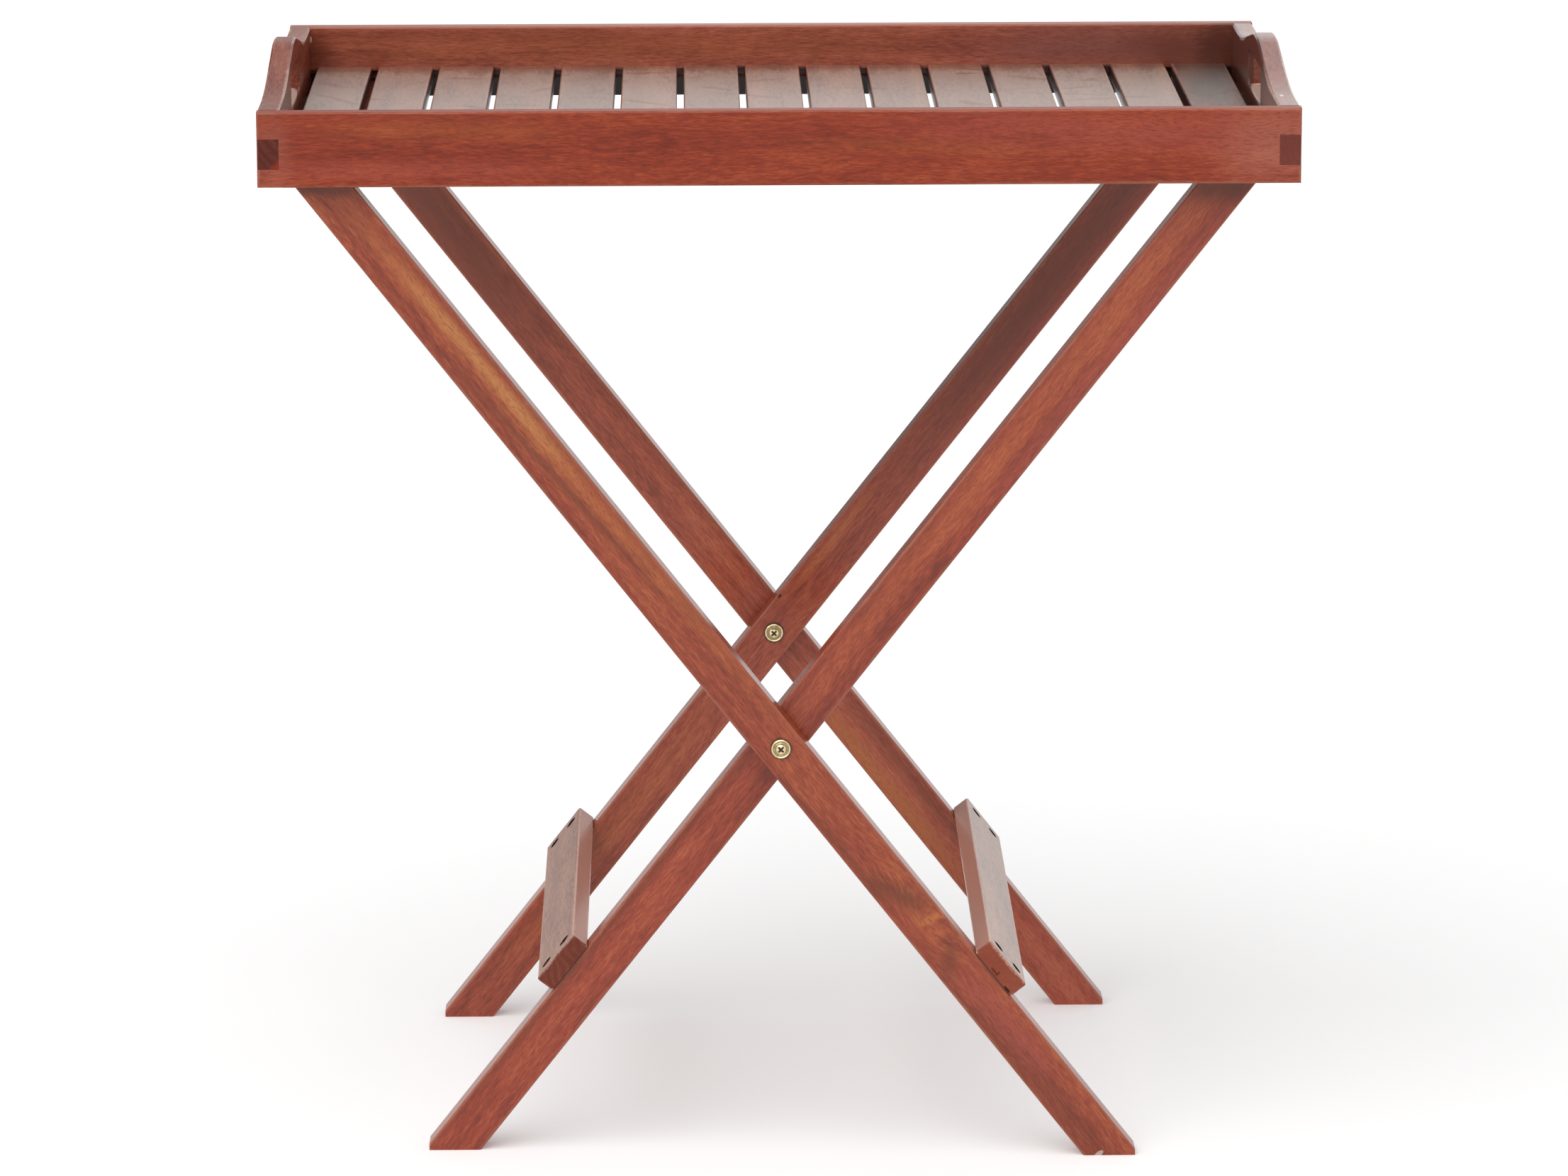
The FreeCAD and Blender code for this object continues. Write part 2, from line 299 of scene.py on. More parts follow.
def stick(node, along, across):
    """(middle, axes as columns, half sizes in mm) of a piece from its grain and its width direction.
    A half size is half of the spread of the mesh's points along that axis."""
    along, across = Vector(along), Vector(across)
    axes = Matrix((along, across, along.cross(across))).transposed()
    local = points_of(node) @ np.array(axes)
    low, high = local.min(0), local.max(0)
    middle = axes @ Vector((low + high) / 2)
    return middle, axes, (high - low) / 2 / metres_per_mm


def stick_of(node):
    """Rails run along X, the cross pieces along Y, and the legs up their slope."""
    if node.endswith("rail"):
        return stick(node, (1, 0, 0), (0, 0, 1))
    if node.endswith("leg"):
        side = -1 if node.startswith("outer") else 1
        slope = (side * math.sin(lean), 0, math.cos(lean))
        return stick(node, slope, (-side * math.cos(lean), 0, math.sin(lean)))
    if node.endswith("plank"):
        side = -1 if node.startswith("outer") else 1
        return stick(node, (0, 1, 0), (side * math.sin(lean), 0, math.cos(lean)))
    if node.endswith("end"):
        return stick(node, (0, 1, 0), (0, 0, 1))
    return stick(node, (0, 1, 0), (1, 0, 0))


wooden = [n for n in sorted(nodes) if n.split("_")[-1] in ("rail", "end", "leg", "plank", "bar")
          or n.startswith("slat")]
sticks = {n: stick_of(n) for n in wooden}
print("wooden pieces:", len(wooden), "lean in degrees:", round(math.degrees(lean), 2))

# %% [markdown]
# ## Stained hardwood
# The wood is a fine, straight-grained tropical hardwood under a red-brown stain and a satin
# lacquer. A picture of a board would have to be wrapped round every stick, so the grain is a
# formula of the place in the wood instead, and the faces of a stick agree at its edges by
# themselves. What one board alone has, such as a streak of sapwood, a knot or a spot of filler, is
# a list that goes with that board. These are the marks that such a list can hold.

# %% Noise, streaks, knots and spots
noise_range = (0.28, 0.72)
seed_steps = (7.3, 5.1, 3.7)
streak_fade_share = 0.3
streak_ragged_share = 0.5
streak_least, streak_swing = 0.7, 0.6
knot_length_share = 1.5
spot_ragged = 0.5
spot_rim = (1.2, 0.7)


def place_in_mm(start, middle=(0.0, 0.0, 0.0), turn=(0.0, 0.0, 0.0)):
    """The object's own coordinates as a vector in mm from a middle, along axes that are turned."""
    return start.node("ShaderNodeMapping", {"vector_type": "TEXTURE"}, {
        "Vector": start.node("ShaderNodeTexCoord", out="Object"), "Location": middle, "Rotation": turn,
        "Scale": (metres_per_mm,) * 3})


def grain_noise(p, size, seed, detail=2.0, roughness=0.5):
    """Smooth noise with lumps of about size mm along u, v and w, shifted by some lumps for each step of
    the seed. Its usual range is spread to go from 0 to 1."""
    shift = tuple(s * k * seed for s, k in zip(size, seed_steps))
    where = p.node("ShaderNodeMapping", {"vector_type": "TEXTURE"},
                   {"Vector": p, "Location": shift, "Scale": size})
    lumps = p.node("ShaderNodeTexNoise", {}, {"Vector": where, "Scale": 1.0, "Detail": detail,
                                              "Roughness": roughness})
    return lumps.rise(*noise_range)


def streak_mask(u, v, ragged, streak):
    """A soft band from one place (u, v) to another: strongest on the line that joins them, gone at
    half a width from it, fading in and out along it, and broken up by the ragged noise."""
    (u_from, v_from), (u_to, v_to), half_width, strength = streak
    length = math.hypot(u_to - u_from, v_to - v_from)
    du, dv = (u_to - u_from) / length, (v_to - v_from) / length
    along = (u - u_from) * du + (v - v_from) * dv
    aside = abs((v - v_from) * du - (u - u_from) * dv
                + streak_ragged_share * half_width * (ragged - 0.5))
    fade = streak_fade_share * length
    ends = along.rise(-fade, fade) * along.rise(length + fade, length - fade)
    return aside.rise(half_width, 0.0) * ends * (strength * (streak_least + streak_swing * ragged))


def knot_pull(u, v, knot):
    """How strongly the fibres are drawn round a knot: 1 at its middle, falling off with the distance
    counted in its reach along and across the grain."""
    u_at, v_at, reach = knot
    along, across = (u - u_at) / (knot_length_share * reach), (v - v_at) / reach
    return (along * along + across * across).rise(1.0, 0.0)


def spot_mask(place, ragged, spot):
    """A patch with a ragged rim: full inside an ellipsoid about a place (u, v, w), gone just outside."""
    middle, reach, strength = spot
    far = spot_ragged * (ragged - 0.5)
    for c, at, size in zip(place, middle, reach):
        far = far + ((c - float(at)) / float(size)) ** 2.0
    return strength * far.rise(*spot_rim)


print("a streak is (from, to, half width, strength), a spot (middle, reach, strength), a knot (u, v, reach)")

# %% [markdown]
# ## Figure
# Noise stretched along the grain makes the figure at five sizes: broad soft bands, clouds, flecks,
# fibres and short dark pores. Faint growth rings lie about a pith outside the stick. The grain is
# never quite straight, so all of them are read at a place that wanders a little.

# %% Figure of the wood
wander_size = (260.0, 60.0, 60.0)
wander_across, wander_through = 7.0, 5.0
band_size = (420.0, 12.0, 12.0)
cloud_size = (70.0, 16.0, 16.0)
fleck_size = (13.0, 2.2, 2.2)
fibre_size = (7.0, 0.8, 0.8)
pore_size = (4.5, 0.5, 0.5)
pore_range = (0.66, 0.9)
ring_pitch = 4.5
ring_wobble = 6.0
pith_off = (55.0, 40.0)
knot_draw = 0.8
cloud_weight, fibre_weight, fleck_weight, ring_weight = 0.24, 0.46, 0.26, 0.07
ragged_clouds, ragged_fibres, ragged_flecks = 0.4, 0.3, 0.3

Figure = namedtuple("Figure", "shade clouds flecks fibres pores rings ragged")


def figure_of(p, place, u_mark, seed, knots, bands_by):
    """The figure at a place (u, v, w), as wires from 0 to 1. shade is the sum of the weighted noises about
    one half, rings a sine of the distance from the pith, and ragged the mix that breaks up marks. Each
    knot draws the grain in towards its own v."""
    u, v, w = place
    wander = grain_noise(p, wander_size, seed) - 0.5
    v_bent, w_bent = v + wander_across * wander, w + wander_through * wander
    for knot in knots:
        v_bent = v_bent - knot_draw * knot_pull(u_mark, v, knot) * (v - knot[1])
    bent = p.node("ShaderNodeCombineXYZ", {}, {0: u, 1: v_bent, 2: w_bent})
    bands = grain_noise(bent, band_size, seed + 1)
    clouds = grain_noise(bent, cloud_size, seed + 2)
    fibres = grain_noise(bent, fibre_size, seed + 3, detail=3.0, roughness=0.6)
    flecks = grain_noise(bent, fleck_size, seed + 5)
    pores = grain_noise(bent, pore_size, seed + 4, detail=1.0).rise(*pore_range)
    radius = ((v_bent + pith_off[0]) ** 2.0 + (w_bent + pith_off[1]) ** 2.0) ** 0.5
    rings = 0.5 + 0.5 * p.math("SINE", radius * (2 * math.pi / ring_pitch) + ring_wobble * clouds)
    shade = 0.5 + bands_by * (bands - 0.5) + cloud_weight * (clouds - 0.5) + fibre_weight * (fibres - 0.5)
    shade = shade + fleck_weight * (flecks - 0.5) + ring_weight * (rings - 0.5)
    ragged = ragged_clouds * clouds + ragged_fibres * fibres + ragged_flecks * flecks
    return Figure(shade, clouds, flecks, fibres, pores, rings, ragged)


print("fibres in mm:", fibre_size, "rings every", ring_pitch, "mm")

# %% [markdown]
# ## Edges, ends and dust
# Stain soaks into end grain, so the ends are darker, and handling rubs it thin along the edges. Both
# follow from how far a place is from the stick's faces. Fine dust pales a face that is seen at a
# flat angle. A second shader with sheen gives that look, and a mix of the two shaders lets the dust
# vary while the values of its sheen stay constant, as the export needs.

# %% Distances, wear and dust
side_depth, side_range = 0.9, (1.1, 0.5)
end_range = (0.6, 0.2)
end_depth, end_ring_depth = 0.85, 0.2
rub_depth, rub_width = 0.5, 1.7
rub_by_fibres, rub_by_clouds = 1.6, 1.2
crest_range, face_range = (1.4, 0.6), (0.3, 0.9)
dust_least, dust_by_flecks, dust_by_clouds = 0.55, 0.5, 0.4
dust_roughness = 0.35
dust_tint = (1.0, 0.91, 0.82, 1.0)


def distances(place, half, crest):
    """How far in mm a place is from the stick's ends, its edges and its broad faces. Under a crest the
    upper edge is a curve: full height over the top, and less by the rise from the foot on."""
    to_end, to_edge, to_face = (float(h) - abs(c) for h, c in zip(half, place))
    if crest:
        top_half, foot_half, rise = crest
        to_edge = to_edge.least(float(half[1]) - rise * abs(place[0]).rise(top_half, foot_half) - place[1])
    return to_end, to_edge, to_face


def rubbed_edges(grain, arris):
    """1 on an arris, falling to 0 at the rub's width from it, with an uneven border."""
    uneven = rub_by_fibres * (grain.fibres - 0.5) + rub_by_clouds * (grain.clouds - 0.5)
    return (arris + uneven).rise(rub_width, 0.0)


def settled_dust(grain, to_end, to_edge, crest):
    """How thick the dust lies, up to 1 and more: on the top of a crest, or else on the broad faces."""
    if crest:
        level = to_edge.rise(*crest_range)
    else:
        level = to_edge.rise(*face_range) * to_end.rise(*face_range)
    return level * (dust_least + dust_by_flecks * grain.flecks + dust_by_clouds * grain.clouds)


print("edges rubbed over", rub_width, "mm; dust with a sheen roughness of", dust_roughness)

# %% [markdown]
# ## The wood of one stick
# The steps go on top of each other as on the bench: stain, streaks and pores, then the narrow faces
# and the ends, the rubbed edges, and at last the spots. The lacquer is the shader's coat.

# %% The wood recipe
stain_stops = (0.05, 0.5, 0.95)
pore_depth = 0.45
wood_roughness, cloud_roughness, pore_roughness = 0.46, 0.12, 0.15
bare_ends = 0.8
fibre_relief, pore_relief, ring_relief = 0.5, 0.8, 0.2
relief_strength = 0.3
relief_height = 0.1 * metres_per_mm
rub_colour = (0.46, 0.17, 0.10)
end_colour = (0.07, 0.018, 0.010)


def wood(node, tones, seed, gloss, polish=0.2, sheen=0.0, streaks=(), knots=(), spots=(), crest=None,
         mark_from=0.0, ends=end_colour, sides=None, rub=rub_colour, bands_by=0.34, dust=0.0,
         swept=()):
    """A stained hardwood for one stick. tones are its deep, middle and bright stain, gloss and polish
    the weight and roughness of the lacquer, and sheen the shine of the wood itself. streaks and
    spots are (colour, shape) pairs and knots are places, counted along the stick from mark_from.
    crest, on a panel with a raised handle, is (half-length of the top, half-length of the foot,
    rise). ends, sides and rub are the colours of the end grain, of the narrow faces and of the
    rubbed edges, and bands_by is how bold the broad figure is. dust is the weight of the dust's
    sheen, and swept the streaks without dust. Sizes are in mm.
    A place is on an arris where two of its three distances are near zero, so the middle one of the
    three counts. A panel with a crest, or with sides of their own colour, is rubbed on its long
    arrises alone, and in the second case also where its ends meet its upper face."""
    middle, axes, half = sticks[node]
    material, start = new_material("wood_" + node)
    p = place_in_mm(start, middle, axes.to_euler())
    u, v, w = p.parts()
    u_mark = u - mark_from
    grain = figure_of(p, (u, v, w), u_mark, seed, knots, bands_by)

    colour = p.node("ShaderNodeValToRGB", {"stops": tuple(zip(stain_stops, tones))}, {0: grain.shade})
    for tint, streak in streaks:
        colour = streak_mask(u_mark, v, grain.ragged, streak).blend(colour, tint)
    colour = (pore_depth * grain.pores).blend(colour, tones[0])

    to_end, to_edge, to_face = distances((u, v, w), half, crest)
    end_grain = to_end.rise(*end_range)
    arris = to_end.least(to_edge).most(to_end.most(to_edge).least(to_face))
    if crest or sides:
        arris = to_edge.most(to_face)
    if sides:
        colour = (side_depth * to_edge.rise(*side_range)).blend(colour, sides)
        below_top = float(half[2]) - math.copysign(1.0, axes.col[2].z) * w
        arris = arris.least(to_end.most(below_top))
    colour = (end_grain * (end_depth + end_ring_depth * (grain.rings - 0.5))).blend(colour, ends)
    colour = (rub_depth * rubbed_edges(grain, arris)).blend(colour, rub)
    for tint, spot in spots:
        colour = spot_mask((u_mark, v, w), grain.ragged, spot).blend(colour, tint)

    relief = fibre_relief * grain.fibres - pore_relief * grain.pores + ring_relief * grain.rings
    bump = p.node("ShaderNodeBump", {}, {"Height": relief, "Strength": relief_strength,
                                         "Distance": relief_height})
    roughness = wood_roughness + cloud_roughness * grain.clouds + pore_roughness * grain.pores
    looks = {"Base Color": colour, "Roughness": roughness, "Normal": bump, "Specular IOR Level": sheen,
             "Coat Weight": gloss * (1.0 - bare_ends * end_grain), "Coat Roughness": polish}
    skin = p.node("ShaderNodeBsdfPrincipled", {}, looks)
    if dust:
        dusty = p.node("ShaderNodeBsdfPrincipled", {}, looks | {
            "Sheen Weight": dust, "Sheen Roughness": dust_roughness, "Sheen Tint": dust_tint})
        settled = settled_dust(grain, to_end, to_edge, crest)
        for streak in swept:
            settled = settled * (1.0 - streak_mask(u_mark, v, grain.ragged, streak))
        skin = p.node("ShaderNodeMixShader", {}, {0: settled.least(1.0), 1: skin, 2: dusty})
    start.node("ShaderNodeOutputMaterial", {}, {"Surface": skin})
    return material


def put_on(node, material):
    """Gives a carried-over piece one material in place of what it came with."""
    slots = nodes[node].data.materials
    slots.clear()
    slots.append(material)


gold = (0.50, 0.20, 0.060)
orange = (0.44, 0.125, 0.036)
rose = (0.36, 0.070, 0.045)
blush = (0.40, 0.13, 0.085)
umber = (0.110, 0.026, 0.010)
plum = (0.22, 0.076, 0.064)
# Near-black, used for real dirt and cracks, and also for painted shade in gaps, holes, seams and corners.
soot_and_shade = (0.010, 0.005, 0.004)
chalk = (0.80, 0.70, 0.62)
# The pale rub below is wear, and pale enough to also paint a highlight along the arrises.
worn_highlight = (0.72, 0.50, 0.40)
print("stains:", dict(gold=gold, orange=orange, rose=rose, blush=blush, umber=umber, plum=plum))

# %% [markdown]
# ## Rails
# The two rails are the reddest boards. The front one is even, with a warm patch or two and paler
# ends. The back one turns plum towards its right end. Painted shade darkens both of its corners,
# and below the slats its inside is painted dark as the shade there.

# %% Stain the rails
front_red = ((0.155, 0.022, 0.010), (0.275, 0.038, 0.015), (0.38, 0.072, 0.027))
front_streaks = (
    (orange, ((-260, 12), (-140, 10), 11, 0.25)),
    (orange, ((20, 2), (160, -2), 7, 0.2)),
    (rose, ((-300, -12), (-150, -13), 9, 0.45)),
    (rose, ((90, 12), (300, 8), 18, 0.55)),
    (blush, ((-316, -4), (-292, -4), 40, 0.4)),
    (blush, ((268, 0), (345, 0), 40, 0.6)),
)
put_on("tray_front_rail", wood("tray_front_rail", front_red, seed=3, gloss=0.45, streaks=front_streaks,
                               bands_by=0.18))

back_red = ((0.17, 0.038, 0.022), (0.31, 0.074, 0.043), (0.43, 0.125, 0.074))
back_streaks = (
    (orange, ((-270, 8), (50, 10), 16, 0.30)),
    (plum, ((150, 8), (330, 8), 30, 0.70)),
    # The two umber streaks below are painted shade in the rail's corners.
    (umber, ((-315, 5), (-285, 5), 25, 0.55)),
    (umber, ((235, 6), (330, 4), 30, 0.5)),
)
# Painted shade: the inside below the slats and the inner right corner are darkened.
shade_under_slats = (soot_and_shade, ((0.0, -15.0, 8.0), (900.0, 11.5, 5.0), 1.0))
corner_shade = (soot_and_shade, ((312.0, 6.0, 8.0), (42.0, 30.0, 5.0), 0.4))
glue = (chalk, ((-297.5, 14.5, 6.0), (1.4, 2.4, 1.0), 0.8))
put_on("tray_back_rail", wood("tray_back_rail", back_red, seed=13, gloss=0.6, streaks=back_streaks,
                              spots=(shade_under_slats, corner_shade, glue)))
print("rails stained with", len(front_streaks), "and", len(back_streaks), "streaks")

# %% [markdown]
# ## End panels
# The end panels carry the raised handles, and their through fingers show end grain on the front. The
# left finger lost a corner, which is filled in the rail's colour. The lower wall of each hand slot
# has a painted highlight, and painted shade darkens the inside of the right panel.

# %% Stain the end panels
end_red = ((0.13, 0.026, 0.015), (0.23, 0.052, 0.030), (0.34, 0.10, 0.055))
handle_crest = (13.0, 112.0, 17.3)
left_finger, right_finger = (0.085, 0.022, 0.018), (0.155, 0.040, 0.031)
# The pale colour below paints a highlight on the slot floors, and the shaded brown paints shade inside the right
# panel.
filler_red, slot_highlight, shaded_brown = (0.25, 0.036, 0.017), (0.80, 0.64, 0.53), (0.090, 0.031, 0.023)
finger_corner = (filler_red, ((-190.0, -28.2, 14.5), (3.0, 16.3, 16.3), 0.9))
slot_floor_highlight = (slot_highlight, ((0.0, -6.2, 0.0), (52.0, 1.2, 7.5), 0.75))
in_shade = (shaded_brown, ((70.0, 2.0, -7.5), (170.0, 60.0, 4.5), 0.85))
nick = (chalk, ((-139.0, 14.0, -1.5), (3.2, 1.6, 1.2), 0.9))
put_on("tray_left_end", wood("tray_left_end", end_red, seed=31, gloss=0.55, crest=handle_crest,
                             ends=left_finger, rub=worn_highlight, spots=(slot_floor_highlight, finger_corner), dust=0.15))
put_on("tray_right_end", wood("tray_right_end", end_red, seed=41, gloss=1.0, crest=handle_crest,
                              ends=right_finger, rub=worn_highlight, spots=(in_shade, slot_floor_highlight, nick), dust=0.3))
print("end panels stained, crest over", 2 * handle_crest[1], "mm")

# %% [markdown]
# ## Slats
# The slats are browner, and their lacquer shows most, because they are seen almost edge-on: they
# mirror the back rail near it and the white room everywhere else. Each is a board of its own, so
# each gets its own seed and a slightly different stain. Dust lies on them, less where it was wiped
# and less by the back rail as painted shade. Painted shade darkens the gaps between them, and the
# last slat is darkened and given the least dust as painted shade.

# %% Stain the slats
slat_brown = np.array([(0.09, 0.034, 0.020), (0.20, 0.078, 0.043), (0.32, 0.145, 0.085)])
slat_polish = 0.32
slat_sheen = 0.5
slat_seed, slat_seed_step = 20, 7
slat_dust = 0.66
paler = {"slat_01": 1.6, "slat_12": 1.15, "slat_13": 1.4, "slat_14": 1.2, "slat_15": 0.22}
# The last slat's darker stain, dark streak and thin dust are painted shade.
last_shade, last_gloss = 0.55, 0.45
last_slat_shade = ((soot_and_shade, ((20, -4), (175, 8), 24, 0.7)),)
# Dust left off along the back rail stands for painted shade there.
back_rail_shade = ((174, -60), (174, 60), 42, 1.0)
streaks_each = 6
most_tilt = 0.14
slat_names = sorted(n for n in nodes if n.startswith("slat"))
chance = np.random.default_rng(7)
tilt = chance.uniform(-most_tilt, most_tilt, len(slat_names))


def clean_streaks():
    """Chance streaks across a slat, each a little askew, where the dust is wiped away."""
    along, askew = chance.uniform(-150, 165, streaks_each), chance.uniform(-14, 14, streaks_each)
    near, far = chance.uniform(-30, 5, streaks_each), chance.uniform(10, 35, streaks_each)
    width, strength = chance.uniform(3, 9, streaks_each), chance.uniform(0.3, 0.9, streaks_each)
    rows = np.stack([along, askew, near, far, width, strength], -1).tolist()
    return tuple(((u - t, v), (u + t, v + n), w, k) for u, t, v, n, w, k in rows)


# The slats' narrow sides are painted near-black as the shade in the gaps.
for count, node in enumerate(slat_names):
    last = node == slat_names[-1]
    shade = last_shade if last else 1.0 + tilt[count]
    tones = tuple(tuple(row) for row in (slat_brown * shade).tolist())
    put_on(node, wood(node, tones, seed=slat_seed + slat_seed_step * count,
                      gloss=last_gloss if last else 1.0, polish=slat_polish, sheen=slat_sheen, sides=soot_and_shade,
                      streaks=last_slat_shade if last else (), dust=slat_dust * paler.get(node, 1.0),
                      swept=(back_rail_shade,) + clean_streaks()))
print("slats stained:", len(slat_names), "darkest and palest by", tilt.min().round(2), tilt.max().round(2))

# %% [markdown]
# ## Legs
# The front leg of the outer frame has a long golden sapwood streak and a knot near the foot. Its
# partner is redder. Painted shade darkens the back pair towards the tray and the front pair just
# under it. Streaks and spots on a leg are counted from the pivot. Dark rings round the pivot's
# heads and a dark line in the seam under a plank are dirt and painted shade.

# %% Stain the legs
leg_tones = {
    "outer_front_leg": ((0.16, 0.025, 0.011), (0.295, 0.050, 0.020), (0.42, 0.105, 0.038)),
    "inner_front_leg": ((0.17, 0.026, 0.013), (0.315, 0.050, 0.022), (0.43, 0.098, 0.040)),
    "inner_back_leg": ((0.16, 0.028, 0.014), (0.305, 0.056, 0.027), (0.43, 0.105, 0.046)),
    "outer_back_leg": ((0.20, 0.038, 0.018), (0.39, 0.078, 0.037), (0.50, 0.135, 0.062)),
}
leg_streaks = {
    "outer_front_leg": (
        (orange, ((60, 9), (430, 3), 9, 0.6)),
        (gold, ((230, 7), (360, 5), 6, 0.8)),
        (umber, ((130, 3), (310, -7), 5, 0.5)),
        (umber, ((-330, -3), (-200, -9), 13, 0.4)),
        (umber, ((-157, 9), (-178, -11), 9, 0.5)),
        (umber, ((-131, 9), (-97, -11), 12, 0.6)),
        (umber, ((-104, -9), (-10, -11), 4, 0.4)),
        (umber, ((-147, 14), (-146, 7), 2.5, 0.4)),
        (orange, ((-142, 13), (-139, -3), 4, 1.0)),
        # Painted shadow of the tray across the top of the leg.
        (umber, ((450, -16), (426, 16), 8, 0.75)),
        (rose, ((-258, 2), (-185, -1), 13, 0.7)),
    ),
    "inner_front_leg": (
        (umber, ((-330, 12), (-20, 11), 5, 0.5)),
        (orange, ((40, 3), (420, 4), 14, 0.25)),
        (rose, ((200, -10), (440, -10), 7, 0.55)),
        # Painted shadow of the tray across the top of the leg.
        (umber, ((420, 16), (444, -16), 15, 0.75)),
    ),
    "inner_back_leg": (
        (orange, ((42, 8), (108, 8), 4, 0.7)),
        # Painted shade, darker towards the tray.
        (umber, ((170, 5), (480, 3), 26, 0.65)),
        (rose, ((90, -12), (380, -12), 5, 0.5)),
        (orange, ((-260, 2), (-100, 2), 12, 0.35)),
    ),
    "outer_back_leg": (
        (orange, ((-215, -8), (-60, -8), 9, 0.9)),
        (umber, ((40, 12), (420, 8), 6, 0.25)),
        (umber, ((-215, 8), (-60, 8), 9, 0.4)),
        # Painted shade, darker towards the tray.
        (umber, ((270, 0), (480, 0), 25, 0.7)),
        (rose, ((-340, 0), (-200, 0), 24, 0.35)),
    ),
}
leg_knots = {"outer_front_leg": ((-142, 13, 26),)}
leg_spots = {
    "inner_back_leg": ((soot_and_shade, ((21.5, 12.1, 9.0), (1.6, 1.0, 1.2), 0.9)),),
    "outer_front_leg": ((chalk, ((-323.0, -5.6, -9.0), (1.5, 3.2, 2.0), 0.45)),),
}
leg_gloss = 0.85
leg_seed, seed_step = 53, 11
# Dark rings round the pivot's heads: dirt and painted shade.
round_heads = tuple((soot_and_shade, ((0.0, 0.0, face), (6.9, 6.9, 1.0), 0.8)) for face in (-9.0, 9.0))
seam_length_share, seam_width, seam_inwards, seam_strength = 1.15, 1.8, 4.0, 0.55


def seams_of(leg):
    """Dark spots of dirt and painted shade along a leg's upper edge, on both of its faces, over the
    width of the plank that lies on it.
    """
    _, axes, half = sticks[leg]
    plank_middle, _, plank_half = sticks[leg.split("_")[0] + "_lower_plank"]
    plank_at = (plank_middle - pivot).dot(axes.col[0]) / metres_per_mm
    reach = (seam_length_share * plank_half[1], seam_width, seam_inwards)
    return tuple((soot_and_shade, ((plank_at, half[1], face * half[2]), reach, seam_strength)) for face in (-1, 1))


for count, node in enumerate(sorted(leg_streaks)):
    middle, axes, _ = sticks[node]
    to_pivot = (pivot - middle).dot(axes.col[0]) / metres_per_mm
    put_on(node, wood(node, leg_tones[node], seed=leg_seed + seed_step * count, gloss=leg_gloss,
                      streaks=leg_streaks[node], knots=leg_knots.get(node, ()), mark_from=to_pivot,
                      spots=leg_spots.get(node, ()) + round_heads + seams_of(node)))
print("legs stained:", len(leg_streaks))

# %% [markdown]
# ## Planks and bars
# The planks are worn along their edges, pale enough to paint a highlight there, and dusty. Their
# narrow upper faces are painted pale, as light from above falls on them. Their screws lie deep in
# holes, and the shade in the holes is painted as dark spots about the middles of the screws. The
# bars under the slats are plain, and painted darker than the legs as the shade under the slats.

# %% Stain the planks and the bars


def screws_of(side):
    """Middles (u, v) of a plank's four screws, from the quarters of the plank that their points fall in,
    and the reach of the screws through it (w), all in mm from the plank's middle."""
    middle, axes, _ = sticks[side + "_lower_plank"]
    local = (points_of(side + "_plank_screws") - np.array(middle)) @ np.array(axes) / metres_per_mm
    middles = []
    for quarter in ((-1, -1), (-1, 1), (1, -1), (1, 1)):
        own = local[(local[:, :2] * quarter > 0).all(1)]
        middles.append((own.min(0) + own.max(0))[:2] / 2)
    return middles, (local[:, 2].min(), local[:, 2].max())


plank_brown = ((0.12, 0.038, 0.020), (0.27, 0.088, 0.044), (0.42, 0.17, 0.09))
# The narrow upper faces are painted paler, as lit from above.
plank_lit_side = (0.54, 0.27, 0.21)
plank_gloss = {"inner": 0.6, "outer": 0.95}
plank_ends = {"inner": (0.15, 0.036, 0.027), "outer": (0.26, 0.060, 0.036)}
plank_polish, plank_dust = 0.28, 0.3
plank_seed, bar_seed = 23, 83
hole_reach = (4.7, 4.7, 30.0)
cracks = {"outer": (
    (umber, ((-177.0, 1.5, -4.2), (2.5, 2.4, 0.9), 0.8)),
    (umber, ((-177.0, -1.5, -3.6), (2.5, 1.0, 1.8), 0.8)),
    (soot_and_shade, ((-177.0, -13.0, -5.2), (2.5, 3.0, 0.8), 0.9)),
)}
# The bars are painted darker than the legs, as the shade under the slats.
bar_brown_in_shade = ((0.07, 0.013, 0.006), (0.13, 0.026, 0.013), (0.20, 0.047, 0.022))
bar_gloss = 0.5
for count, side in enumerate(("inner", "outer")):
    plank, bar = side + "_lower_plank", side + "_top_bar"
    # Dark spots at the screw holes are painted shade.
    hole_shade = tuple((soot_and_shade, ((*at, 0.0), hole_reach, 1.0)) for at in screws_of(side)[0])
    put_on(plank, wood(plank, plank_brown, seed=plank_seed + seed_step * count, gloss=plank_gloss[side],
                       polish=plank_polish, ends=plank_ends[side], sides=plank_lit_side,
                       spots=hole_shade + cracks.get(side, ()), rub=worn_highlight, dust=plank_dust))
    put_on(bar, wood(bar, bar_brown_in_shade, seed=bar_seed + seed_step * count, gloss=bar_gloss))
print("planks and bars stained:", 2 * len(plank_gloss))

# %% [markdown]
# ## Turned brass and steel
# Each pivot is a bolt and a sleeve nut, whose heads show on both sides of a pair of legs: a
# flange with a rolled rim, a shallow dish, and a raised button with a cross recess. Such a head is
# a turned profile, so the mesh is that profile carried round the axis, with the recess pressed
# into it as a depth that depends on the place on the face. The plank screws are made the same
# way, with a six-sided socket, and lie at the bottom of their holes.

# %% Profiles and recesses
turn_steps = 96
profile_step = 0.12
cross_wall_share, cross_end_loss = 0.35, 0.55


